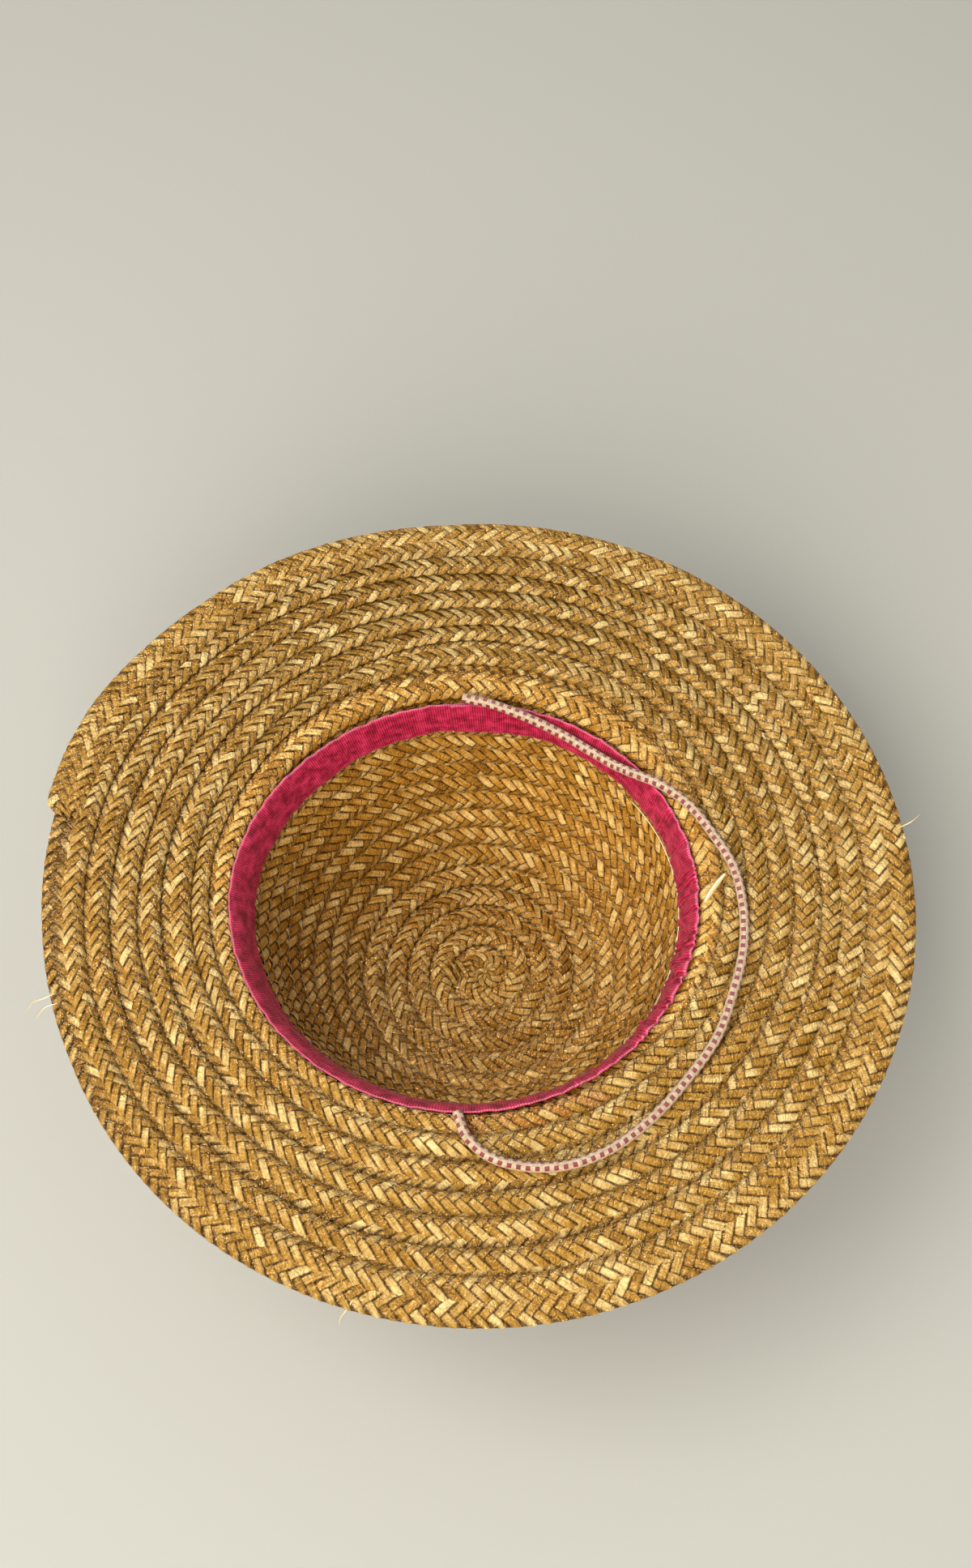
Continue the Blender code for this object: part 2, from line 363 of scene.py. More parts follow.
def inner_edge(turn):
    """Length along the section of the plait's inner edge, with the small sway of hand sewing."""
    calm = np.clip((turn - 1.5) / 2, 0, 1)
    sway = 0.00035 * calm * waves(turn, (0.113, 0.071, 0.19, 0.043), 3)
    return np.interp(turn, EDGE_LINE[:, 0], EDGE_LINE[:, 1]) + sway


def on_last_turn(turn, fade):
    """0 before the last turn and 1 on it, with a straight change over a part of a turn."""
    return np.clip((turn - LAST_TURN) / fade, 0, 1)


def plait_width(turn):
    """The plait's width along the section. The last turn reaches just to the brim's edge.

    Its end is folded under, so the corner there is cut off round: sqrt(1 - s^2), with s running from 0
    nearly to 1 over the last 8 mm, which are 0.008 turns.
    """
    last = on_last_turn(turn, 0.2)
    width = PLAIT_WIDTH * (1 - last) + (SECTION_LENGTH + 0.0003 - inner_edge(turn)) * last
    s = np.clip(1 - (END_TURN - turn) / 0.0080, 0, 0.93)
    return width * np.sqrt(1 - s * s)


def row_spacing(turn):
    """Way along the section to the next turn's inner edge, as 7.5 to 12.5 mm whatever it really is.

    The last turn has no turn above it, so there it is a little more than the plait's width.
    """
    spacing = np.clip(inner_edge(turn + 1) - inner_edge(turn), 0.0075, 0.0125)
    last = on_last_turn(turn, 0.3)
    return spacing * (1 - last) + 1.06 * PLAIT_WIDTH * last


def row_relief(turn, from_edge):
    """The plait's lift over the section: a round ridge that sinks to the next turn's inner edge.

    t is the share of the way to that edge. The lift in millimetres is 0.2 + 1.4 sin(pi t^0.6) - 1.5 t,
    so the inner edge curls down and the crest stands at a quarter of the way. Under the next turn the
    plait sinks by 1.1 mm for each such way more. The last turn is flatter.
    """
    last = on_last_turn(turn, 0.3)
    t = from_edge / row_spacing(turn)
    seen = np.clip(t, 0, 1)
    ridge = (0.0014 - 0.0006 * last) * np.sin(math.pi * seen**0.6)
    return 0.0002 + ridge - (0.0015 - 0.0007 * last) * seen - 0.0011 * np.maximum(t - 1, 0)


def row_shade(turn, from_edge):
    """Painted brown shade on the straw: most in the groove beside the next turn, some on each inner edge,
    and at the hat's rim.
    """
    t = from_edge / row_spacing(turn)
    last = turn >= LAST_TURN + 0.05
    groove = np.clip((t - 0.82) / 0.12, 0, 1) * np.clip((1.14 - t) / 0.08, 0, 1)
    inner_rim = np.clip(1 - t / 0.10, 0, 1)
    hat_rim = np.clip((t - 0.88) / 0.05, 0, 1)
    return np.where(last, 0.7 * hat_rim, 0.85 * groove) + 0.45 * inner_rim


SWELL_REACH = 0.0088
# Degrees before the plait's end, and the share of that reach there
EDGE_SWELL = (
    (0.0, 0.82),
    (4.5, 0.88),
    (10.5, 0.98),
    (17.5, 1.00),
    (28.5, 0.76),
    (38.5, 0.58),
    (49.5, 0.48),
    (60.5, 0.28),
    (75.5, 0.00),
    (325.0, 0.00),
    (345.0, 0.18),
    (361.0, 0.45),
    (375.0, 0.50),
)


def edge_swell(turn):
    """How much further the brim reaches, from the degrees left before the plait's end."""
    before, share = zip(*EDGE_SWELL)
    left = (END_TURN - turn) * 360
    return SWELL_REACH * np.interp(left, before, share)


def on_plait(turn, across, lift):
    """A point of the wound plait from its turn, its share across from -1 to 1, and its lift."""
    width = plait_width(turn)
    from_edge = (across + 1) / 2 * width
    base = row_relief(turn, from_edge)
    sag = 0.00015 * waves(turn, (0.31, 0.17, 0.083), 8)
    azimuth = math.pi + math.tau * turn
    points = on_hat(inner_edge(turn) + from_edge, base + sag + lift, azimuth, edge_swell(turn))
    # Heights z under c = 1.2 mm become c e^(z/c - 1), which is always over 0
    height = points[..., 2]
    pressed = PRESSED_UNDER * np.exp(np.minimum(height / PRESSED_UNDER, 1) - 1)
    points[..., 2] = np.where(height < PRESSED_UNDER, pressed, height)
    return points


def plait_ruler():
    """The turn at each length along the plait's middle line, from a finely stepped copy of it."""
    turn = np.linspace(0, END_TURN, 60000)
    return turn, length_along(on_plait(turn, np.zeros_like(turn), 0.0))


RULER_TURN, RULER_LENGTH = plait_ruler()
print(f"plait {RULER_LENGTH[-1]:.2f} m long, {END_TURN:.2f} turns")

# %% [markdown]
# ## The seven-end plait
#
# Each splint zigzags across the plait and back in 37 mm, and its neighbour does the same one seventh
# later. It passes over one, under two, over two and under one, then folds round the edge and turns
# over. All seven are the same zigzag, so one table of 28 places serves for every splint. A splint's
# section is a flat lens with four corners, which is enough to catch the light along its crown.

# %% The plait on a straight ruler
PERIOD = 0.0366
PLACES = 28
STEP = PERIOD / PLACES
SPLINTS = 7
HALF_WIDTH = PLAIT_WIDTH / 2
# How far over (1) or under (-1) the others a splint lies, at each place of one crossing
LEVEL = (0, -0.8, -1, 0, 1, 1.1, 1, 0, -1, -1.1, -1, 0, 1, 0.8)
SPLINT_LIFT = 0.00038
# Half a splint's thickness, how far one rim is lifted and the other sunk, and chance's part in that
SPLINT_CROWN = 0.00024
SPLINT_TILT = 0.00022
SPLINT_ROLL = 0.00024
# Widths as shares of the distance between splints: on a crossing and in a fold
SPLINT_SHARE = 1.05
FOLD_SHARE = 0.72
# Width of one of a splint's four faces on its map
FACE_WIDTH = 0.0018


def zigzag_tables():
    """For each of the 28 places: share across, level, and the section's two half axes.

    The share goes straight from -1 to 1 over the first 14 places and back over the others.
    """
    place = np.arange(PLACES)
    crossing = PLACES // 2
    across = np.where(place <= crossing, 2 * place / crossing - 1, 3 - 2 * place / crossing)
    level = np.array(LEVEL + LEVEL)
    slant = PLAIT_WIDTH / crossing
    rising = (place > 0) & (place < crossing)
    fold = place % crossing == 0
    half_along = np.where(fold, 2 * STEP * FOLD_SHARE, STEP * SPLINT_SHARE)
    half_across = np.where(fold, 0.0, np.where(rising, -slant, slant) * SPLINT_SHARE)
    up_across = np.where(fold, -1.0, 0.0)
    up_lift = np.where(fold, 0.0, np.where(rising, -1.0, 1.0))
    return across, level, half_along, half_across, up_across, up_lift


TABLES = zigzag_tables()


def smooth_chance(every, seed):
    """Chance values between -1 and 1 for each splint, smoothed between knots that many places apart."""
    chance = np.random.default_rng(seed)
    knots = chance.uniform(-1, 1, (TOTAL_PLACES // every + 3, SPLINTS))
    at = np.arange(TOTAL_PLACES) / every
    low = at.astype(int)
    share = ((at - low) ** 2 * (3 - 2 * (at - low)))[:, None]
    return knots[low] * (1 - share) + knots[low + 1] * share


TOTAL_PLACES = int(RULER_LENGTH[-1] / STEP)
ROLL = smooth_chance(2, 11)
CRINKLE = smooth_chance(1, 16)
SHIFT = smooth_chance(14, 12)
THIN = smooth_chance(28, 13)
AMBER = smooth_chance(9, 17) > -0.3
AMBER_TURN = 16.29
TONE = 0.5 * smooth_chance(160, 14) + 0.9 * smooth_chance(4, 15)


def plaited(name, first, last, material, stands_for):
    """The seven splints between two places of the ruler, wound on to the hat, as closed strips.

    Chance makes a splint up to a tenth thinner, shifts it by up to 0.15 mm and lifts it by 0.07 mm.
    """
    place = np.arange(first, last + 1)
    splint = np.arange(SPLINTS)
    phase = (place[:, None] - PLACES // SPLINTS * splint) % PLACES
    across, level, half_along, half_across, up_across, up_lift = (t[phase] for t in TABLES)
    thin = 1 - 0.05 * (1 + THIN[place])
    side = np.array([1, 0, -1, 0])
    up = np.array([0, 1, 0, -1])
    length = (place * STEP)[:, None] + 0.00015 * SHIFT[place]
    along = length[..., None] + (half_along * thin)[..., None] * side
    wide = (across * HALF_WIDTH)[..., None] + (half_across * thin)[..., None] * side
    wide = wide + SPLINT_CROWN * up_across[..., None] * up
    tilt = SPLINT_TILT + SPLINT_ROLL * ROLL[place]
    lift = (level * SPLINT_LIFT + 0.00007 * CRINKLE[place])[..., None]
    lift = lift + SPLINT_CROWN * up_lift[..., None] * up + tilt[..., None] * side
    turn = np.interp(along, RULER_LENGTH, RULER_TURN)
    points = on_plait(turn, wide / HALF_WIDTH, lift)
    steps = len(place) - 1
    ring = (np.arange(len(place))[:, None] * SPLINTS + splint) * 4
    near, far = ring[:-1], ring[1:]
    k = np.arange(4)
    n = (k + 1) % 4
    quads = np.stack(
        [near[..., None] + k, near[..., None] + n, far[..., None] + n, far[..., None] + k], axis=-1
    )
    start_cap = ring[0][:, None] + np.array([3, 2, 1, 0])
    end_cap = ring[-1][:, None] + np.array([0, 1, 2, 3])
    # Straw map: metres along the slanting splint, 3.1 m apart from one to the next, and metres round it
    u = (length * 1.41 + 3.1 * splint)[..., None]
    low = np.broadcast_to(k * FACE_WIDTH, quads.shape[:3])
    high = low + FACE_WIDTH
    near_u = np.broadcast_to(u[:-1], quads.shape[:3])
    far_u = np.broadcast_to(u[1:], quads.shape[:3])
    straw = np.stack([near_u, low, near_u, high, far_u, high, far_u, low], axis=-1)
    # Bake map: the splints are cut into strips that are stacked like lines of text. A cell is four
    # faces high, each 0.22 of a line, and as long as one face, so there are 4.1 times as many cells in
    # a line as lines in a column.
    cells = steps * SPLINTS
    line = int(math.sqrt(cells * 4.1))
    count = np.arange(steps)[:, None] + steps * splint
    column = np.broadcast_to((count % line)[..., None], quads.shape[:3])
    lines = cells // line + 1
    row = np.broadcast_to((count // line)[..., None], quads.shape[:3])
    left, right = column / line, (column + 1) / line
    foot = (row + 0.06 + 0.22 * k) / lines
    head = (row + 0.06 + 0.22 * (k + 1)) / lines
    bake = np.stack([left, foot, left, head, right, head, right, foot], axis=-1)
    caps = np.concatenate([start_cap, end_cap])
    cap_straw = np.tile((0.5, 0.0), (len(caps), 4))
    cap_bake = np.full((len(caps), 8), 0.999)
    quads = np.concatenate([quads.reshape(-1, 4), caps])
    # The flat ends take a rim's brown, which is partly painted shade
    uvs = {
        "Straw": np.concatenate([straw.reshape(-1, 8), cap_straw]),
        "OFBake": np.concatenate([bake.reshape(-1, 8), cap_bake]),
    }
    mesh = grid_mesh(name, points.reshape(-1, 3), quads, uvs)
    # A splint's two thin rims are sharp, and its crown between them is smooth
    mesh.set_sharp_from_angle(angle=math.radians(100))
    # Most inner splints beside the near end of the cord are dyed amber
    dyed = (np.abs(turn[..., 0] - AMBER_TURN) < 0.05) & (across < 0.1) & AMBER[place]
    # The painted shade of the grooves lies on a splint's rims and its skin, which each fold turns over
    painted_shade = row_shade(turn, (wide / HALF_WIDTH + 1) / 2 * plait_width(turn)) * (up >= 0)
    marks = {
        "tone": np.repeat(TONE[place].ravel(), 4),
        "amber": np.repeat(0.6 * dyed.ravel(), 4),
        "shade": painted_shade.ravel(),
    }
    for mark, values in marks.items():
        layer = mesh.attributes.new(mark, "FLOAT", "POINT")
        layer.data.foreach_set("value", values.astype(np.float32))
    piece(name, mesh, material, stands_for)


# %% [markdown]
# ## Straw
#
# Wheat straw is a thin tube with a waxy, glossy skin. It is split and flattened for plaiting, so a
# splint shows fine fibres along it, rims that are brown from stain and from painted shade, and glints
# where it bends. No two have the same gold. Fibres and creases are noise on the straw's own map,
# stretched along it, because a pattern in space would run straight through crossing splints. Tone,
# amber dyeing and the painted shade of the grooves come with the mesh as attributes.

# %% Straw material
def straw_material(name, rim_and_shade_brown, dark, mid, light):
    """Split wheat straw: fibres along the splint, tone from splint to splint, a waxy gloss."""
    made, tree, shader = principled(name)
    straw = node(tree, "ShaderNodeUVMap", {"uv_map": "Straw"}).outputs[0]
    # Fibres: streaks 14 mm long and 0.4 mm wide, with finer ones in them
    fibre_at = node(tree, "ShaderNodeMapping", Vector=straw, Scale=(70.0, 2600.0, 1.0)).outputs[0]
    fibre = node(tree, "ShaderNodeTexNoise", Vector=fibre_at, Scale=1.0, Detail=3.0).outputs[0]
    # Slow changes of colour along a straw, some 18 mm long and wider than the splint
    cloud_at = node(tree, "ShaderNodeMapping", Vector=straw, Scale=(55.0, 300.0, 1.0)).outputs[0]
    cloud = node(tree, "ShaderNodeTexNoise", Vector=cloud_at, Scale=1.0, Detail=2.0).outputs[0]
    tone = node(tree, "ShaderNodeAttribute", {"attribute_name": "tone"}).outputs["Fac"]
    own = node(tree, MATH, SCALED, i0=tone, i1=0.27, i2=0.52)
    slow = node(tree, MATH, SCALED, i0=cloud, i1=0.7, i2=-0.35)
    fine = node(tree, MATH, SCALED, i0=fibre, i1=0.7, i2=-0.35)
    own_slow = node(tree, MATH, i0=own.outputs[0], i1=slow.outputs[0])
    gold_at = node(tree, MATH, i0=own_slow.outputs[0], i1=fine.outputs[0])
    gold = node(tree, "ShaderNodeValToRGB", Fac=gold_at.outputs[0])
    set_stops(gold, (0.0, dark), (0.5, mid), (1.0, light))
    amber = node(tree, "ShaderNodeAttribute", {"attribute_name": "amber"}).outputs["Fac"]
    dyed = node(tree, MIX, COLOURS, i0=amber, i6=gold.outputs[0], i7=linear("#96501a"))
    # Brown rims, partly stain and partly painted shade of the crevices between splints: two of a
    # splint's four faces lie between one rim and the other on its map
    parts = node(tree, "ShaderNodeSeparateXYZ", Vector=straw)
    over = node(tree, MATH, {"operation": "MULTIPLY"}, i0=parts.outputs[1], i1=1 / (2 * FACE_WIDTH))
    share = node(tree, MATH, {"operation": "FRACT"}, i0=over.outputs[0])
    centre = node(tree, MATH, {"operation": "SUBTRACT"}, i0=share.outputs[0], i1=0.5)
    away = node(tree, MATH, {"operation": "ABSOLUTE"}, i0=centre.outputs[0])
    rim = node(tree, "ShaderNodeMapRange", Value=away.outputs[0], i1=0.29, i2=0.46, i3=0.0, i4=1.0)
    rimmed = node(tree, MIX, COLOURS, i0=rim.outputs[0], i6=dyed.outputs[2], i7=linear(rim_and_shade_brown))
    # Painted shade from the plait, in the grooves, on each curled inner edge and at the hat's rim
    painted_shade = node(tree, "ShaderNodeAttribute", {"attribute_name": "shade"}).outputs["Fac"]
    shaded = node(tree, MIX, COLOURS, i0=painted_shade, i6=rimmed.outputs[2], i7=linear(rim_and_shade_brown))
    tree.links.new(shaded.outputs[2], shader.inputs["Base Color"])
    rough = node(tree, MATH, SCALED, i0=cloud, i1=0.34, i2=0.05)
    tree.links.new(rough.outputs[0], shader.inputs["Roughness"])
    # Creases about 2 mm apart, where the flattened tube was bent, and the fibres on top of them
    crease_at = node(tree, "ShaderNodeMapping", Vector=straw, Scale=(620.0, 420.0, 1.0)).outputs[0]
    creases = {"Scale": 1.0, "Detail": 2.0, "Distortion": 1.2}
    crease = node(tree, "ShaderNodeTexNoise", Vector=crease_at, **creases).outputs[0]
    bent = node(tree, "ShaderNodeBump", Height=crease, Strength=1.0, Distance=0.0015).outputs[0]
    bump = node(tree, "ShaderNodeBump", Height=fibre, Normal=bent, Strength=0.5, Distance=0.00014)
    tree.links.new(bump.outputs[0], shader.inputs["Normal"])
    # The wax glints a little yellow
    shader.inputs["IOR"].default_value = 1.43
    shader.inputs["Specular Tint"].default_value = linear("#ffd08a")
    return made


# The crown's straw is the brim's straw with painted light and shade: its colours are set lighter and more
# orange than the brim's, to stand for the light inside the crown.
CROWN_STRAW_PAINTED_LIGHT = straw_material("wheat_straw_crown_painted_light", "#402000", "#6e420a", "#bb832c", "#ffdc8e")
BRIM_STRAW = straw_material("wheat_straw_brim", "#3c1e00", "#674009", "#a97c2e", "#fbdf9a")

# %% Plait the crown and the brim
CROWN_TURNS = 16.0
CROWN_END = int(np.interp(CROWN_TURNS, RULER_TURN, RULER_LENGTH) / STEP)


def plait_pieces(part, first, last, count, material):
    """Plait one part of the hat as a few pieces of the same length."""
    cuts = np.linspace(first, last, count + 1).astype(int)
    for number in range(count):
        plaited(f"{part}_plait_{number + 1}", cuts[number], cuts[number + 1], material, part)


plait_pieces("crown", 0, CROWN_END, 2, CROWN_STRAW_PAINTED_LIGHT)
plait_pieces("brim", CROWN_END, TOTAL_PLACES - 2, 3, BRIM_STRAW)

# %% [markdown]
# ## The ribbon
#
# A length of pink grosgrain is sewn round the inside of the head opening. Grosgrain has fine ribs
# across its width, here 1 mm apart, and their light and shade are partly painted into its colour. It
# was pressed over the rows of straw, so it is puckered, with blots of painted shade, its top edge
# turns out over the brim, and its end laps over its start at the far side.
# A simulated cloth would need the straw to lie on. A sheet worked out on the hat's own surface needs
# nothing: one number runs along it, one runs across, and waves lift it off the straw.

# %% Ribbon
RIBBON_START = math.radians(84)
RIBBON_LAP = math.radians(11)
# Millimetres past the head line that the ribbon's top edge reaches, at each 45 degrees round
RIBBON_LIP = (0.4, -0.4, -0.6, 0.0, 2.4, 2.4, 2.4, 1.2, 0.4)
# Millimetres below the head line that its lower edge hangs, at the same places
RIBBON_FOOT = (16.0, 15.0, 15.0, 15.2, 11.0, 8.6, 10.0, 14.0, 16.0)
RIBBON_WIDTH = 0.0167
RIBBON_RADIUS = 0.0886
RIBBON_THICKNESS = 0.0005
# How far its back stands off the section, which is clear of the ridges of straw
RIBBON_LIFT = 0.0021
CRUMPLED_AT = math.radians(-14)


def ribbon():
    """A closed sheet of one turn and a lap. Its lift is a sum of waves, deeper where it is crumpled.

    crumple is cos^14 of half the way round from its worst place, so it is 1 there and 0 at the far end.
    """
    turns = np.linspace(RIBBON_START, RIBBON_START + math.tau + RIBBON_LAP, 1400)[:, None]
    across = np.linspace(0, 1, 19)[None, :]
    lip = np.interp(np.degrees(turns) % 360, np.arange(9) * 45, RIBBON_LIP) / 1000
    foot = np.interp(np.degrees(turns) % 360, np.arange(9) * 45, RIBBON_FOOT) / -1000
    foot = foot + 0.0008 * waves(turns, (0.9, 0.41, 0.23, 0.11), 31)
    lip = lip + 0.00025 * waves(turns, (0.21, 0.13, 0.07), 34)
    run = HEAD_LINE + foot + (lip - foot) * across
    crumple = np.cos((turns - CRUMPLED_AT) / 2) ** 14
    folds = waves(turns + across * 0.1, (0.33, 0.19, 0.12), 32) * (0.0003 + 0.0013 * crumple)
    folds = folds * np.sin(across * math.pi) ** 0.7
    # Creases are the sharp valleys of |sin|, slanting, and deepest at the right
    slant = turns * 31 + across * 1.4 + 3.5 * waves(turns, (0.31, 0.17), 35)
    folds = folds + 0.0016 * crumple * (np.abs(np.sin(slant)) - 0.6)
    pressed = 0.00012 * waves(turns * 90 + across * 6, (5.3, 3.1, 7.9), 33)
    end = np.clip((turns - RIBBON_START - math.tau + 0.16) / 0.16, 0, 1)
    lift = RIBBON_LIFT + 0.0009 * crumple + folds + pressed + 0.0012 * end * end * (3 - 2 * end)
    lift = lift + 0.0006 * np.clip((across - 0.7) / 0.3, 0, 1)
    sides = [on_hat(run, lift + side, turns) for side in (0.0, RIBBON_THICKNESS)]
    count, wide = lift.shape
    front = np.arange(count * wide).reshape(count, wide)
    back = front + count * wide
    loop = np.concatenate([front, back[:, ::-1]], axis=1)
    near, far = loop[:-1], loop[1:]
    quads = np.stack([near, np.roll(near, -1, 1), np.roll(far, -1, 1), far], axis=-1).reshape(-1, 4)
    # Ribbon map: metres along the ribbon, and metres across it from its lower edge, on both sides
    u = np.broadcast_to(turns * RIBBON_RADIUS, loop.shape)
    v = np.concatenate([across[0], across[0][::-1]]) * RIBBON_WIDTH
    low = np.broadcast_to(v, near.shape)
    high = np.broadcast_to(np.roll(v, -1), near.shape)
    uv = np.stack([u[:-1], low, u[:-1], high, u[1:], high, u[1:], low], axis=-1).reshape(-1, 8)
    ends = [
        np.stack([front[row, :-1], back[row, :-1], back[row, 1:], front[row, 1:]], axis=-1)[:, ::way]
        for row, way in ((0, 1), (-1, -1))
    ]
    quads = np.concatenate([quads, *ends])
    uv = np.concatenate([uv, np.zeros((2 * (wide - 1), 8))])
    return grid_mesh("ribbon", np.concatenate([s.reshape(-1, 3) for s in sides]), quads, {"Ribbon": uv})


def grosgrain():
    """Pink polyester grosgrain: ribs across it, painted shade on its ribs and in blots, a soft silky sheen.
    """
    made, tree, shader = principled("pink_grosgrain")
    cloth = node(tree, "ShaderNodeUVMap", {"uv_map": "Ribbon"}).outputs[0]
    # 1 mm ribs: the wave texture repeats each 2 pi / 20 at scale 1, so its scale is 314 for 1 mm
    ribbing = {"Vector": cloth, "Scale": 314.0, "Distortion": 0.6, "Detail": 1.0}
    ribs = node(tree, "ShaderNodeTexWave", {"bands_direction": "X"}, **ribbing).outputs["Fac"]
    # Blots of 4 to 5 mm of painted shade, where it was pressed on the rows of straw, also used as a bump
    press_at = node(tree, "ShaderNodeMapping", Vector=cloth, Scale=(190.0, 260.0, 1.0)).outputs[0]
    blots = {"Scale": 1.0, "Detail": 3.0, "Roughness": 0.6}
    pressed = node(tree, "ShaderNodeTexNoise", Vector=press_at, **blots).outputs[0]
    # The ribs' light and shade are painted into the pink as well as bumped
    shade = node(tree, MATH, SCALED, i0=ribs, i1=0.22, i2=-0.11)
    both = node(tree, MATH, i0=pressed, i1=shade.outputs[0])
    dye_and_shade = node(tree, "ShaderNodeValToRGB", Fac=both.outputs[0])
    set_stops(dye_and_shade, (0.30, "#6c021c"), (0.48, "#ab0e38"), (0.68, "#d8345e"))
    # The woven selvedge is the last half millimetre or so at either edge
    parts = node(tree, "ShaderNodeSeparateXYZ", Vector=cloth)
    centre = node(tree, MATH, {"operation": "SUBTRACT"}, i0=parts.outputs[1], i1=RIBBON_WIDTH / 2)
    away = node(tree, MATH, {"operation": "ABSOLUTE"}, i0=centre.outputs[0])
    edge = node(tree, "ShaderNodeMapRange", Value=away.outputs[0], i1=0.0076, i2=0.0079, i3=0.0, i4=0.45)
    pink = node(tree, MIX, COLOURS, i0=edge.outputs[0], i6=dye_and_shade.outputs[0], i7=linear("#e25c86"))
    tree.links.new(pink.outputs[2], shader.inputs["Base Color"])
    shader.inputs["Roughness"].default_value = 0.5
    shader.inputs["Sheen Weight"].default_value = 0.05
    shader.inputs["Specular IOR Level"].default_value = 0.25
    rib_bump = node(tree, "ShaderNodeBump", Height=ribs, Strength=0.6, Distance=0.0003).outputs[0]
    soft_bump = node(tree, "ShaderNodeBump", Height=pressed, Normal=rib_bump, Strength=0.4, Distance=0.0008)
    tree.links.new(soft_bump.outputs[0], shader.inputs["Normal"])
    return made


piece("ribbon", ribbon(), grosgrain(), "sweatband")

# %% [markdown]
# ## The chin cord
#
# A round elastic, 3.8 mm thick, in a braided cream sheath with dark red dashes. Four rows of dashes
# run along it, each half a dash off the next, and the cord is twisted by a third of a turn as it lies.
# It could be a curve with a round bevel. It is built as rings along its route instead, because its map
# then turns with the twist, and the dashes with it.

# %% Chin cord
CORD_DIAMETER = 0.0038
# One dash and the gap after it
DASH_PITCH = 1 / 294
# Radians of twist per metre, and the angle that it starts at
CORD_TWIST = 6.75
CORD_START = -0.66
CORD_ROUTE = (
    (-0.0075, 0.0842, 0.0970),
    (0.0040, 0.0816, 0.0966),
    (0.0155, 0.0776, 0.0952),
    (0.0252, 0.0738, 0.0932),
    (0.0352, 0.0691, 0.0910),
    (0.0450, 0.0629, 0.0902),
    (0.0545, 0.0560, 0.0914),
    (0.0625, 0.0498, 0.0957),
    (0.0705, 0.0452, 0.0976),
    (0.0829, 0.0359, 0.0966),
    (0.0917, 0.0228, 0.0973),
    (0.0988, 0.0086, 0.0980),
    (0.1016, -0.0082, 0.0978),
    (0.1010, -0.0234, 0.0976),
    (0.0957, -0.0432, 0.0980),
    (0.0886, -0.0608, 0.0982),
    (0.0772, -0.0764, 0.0982),
    (0.0615, -0.0932, 0.0984),
    (0.0463, -0.1041, 0.0989),
    (0.0315, -0.1094, 0.0989),
    (0.0168, -0.1098, 0.0984),
    (0.0021, -0.1053, 0.0982),
    (-0.0053, -0.0979, 0.0978),
    (-0.0085, -0.0889, 0.0960),
)


def tube(line, radius, sides, turn_rate=0.0, start=0.0, flat=1.0):
    """Points, faces and map of a closed tube: rings square to a line, level sideways, with flat ends.

    The rings' height is flat times their width. The map runs in metres along the line and from 0 to 1
    round it.
    """
    ahead = np.gradient(line, axis=0)
    ahead /= np.linalg.norm(ahead, axis=1)[:, None]
    rest = np.cross(ahead, (0.0, 0.0, 1.0))
    rest /= np.linalg.norm(rest, axis=1)[:, None]
    over = np.cross(rest, ahead)
    run = length_along(line)
    angle = np.linspace(0, math.tau, sides, endpoint=False)[None, :] + start + turn_rate * run[:, None]
    radius = np.broadcast_to(np.asarray(radius, float), run.shape)[:, None, None]
    rings = line[:, None] + radius * (
        np.cos(angle)[..., None] * rest[:, None] + flat * np.sin(angle)[..., None] * over[:, None]
    )
    index = np.arange(len(line) * sides).reshape(len(line), sides)
    near, far = index[:-1], index[1:]
    quads = np.stack([near, far, np.roll(far, -1, 1), np.roll(near, -1, 1)], axis=-1).reshape(-1, 4)
    u = np.broadcast_to(run[:, None], index.shape)
    low = np.broadcast_to(np.arange(sides) / sides, near.shape)
    high = low + 1 / sides
    uv = np.stack([u[:-1], low, u[1:], low, u[1:], high, u[:-1], high], axis=-1).reshape(-1, 8)
    # Each flat end is a fan of faces from one corner of its ring
    k = np.arange(1, sides - 2, 2)
    fan = np.stack([0 * k, k, k + 1, k + 2], axis=-1)
    quads = np.concatenate([quads, index[0][fan], index[-1][::-1][fan]])
    uv = np.concatenate([uv, np.zeros((2 * len(fan), 8))])
    return rings.reshape(-1, 3), quads, uv


def joined(name, tubes, map_name):
    """One mesh of several tubes: their points one after the other, and their faces counted on."""
    points, quads, maps = zip(*tubes)
    before = np.cumsum([0] + [len(p) for p in points[:-1]])
    faces = np.concatenate([q + b for q, b in zip(quads, before)])
    return grid_mesh(name, np.concatenate(points), faces, {map_name: np.concatenate(maps)})


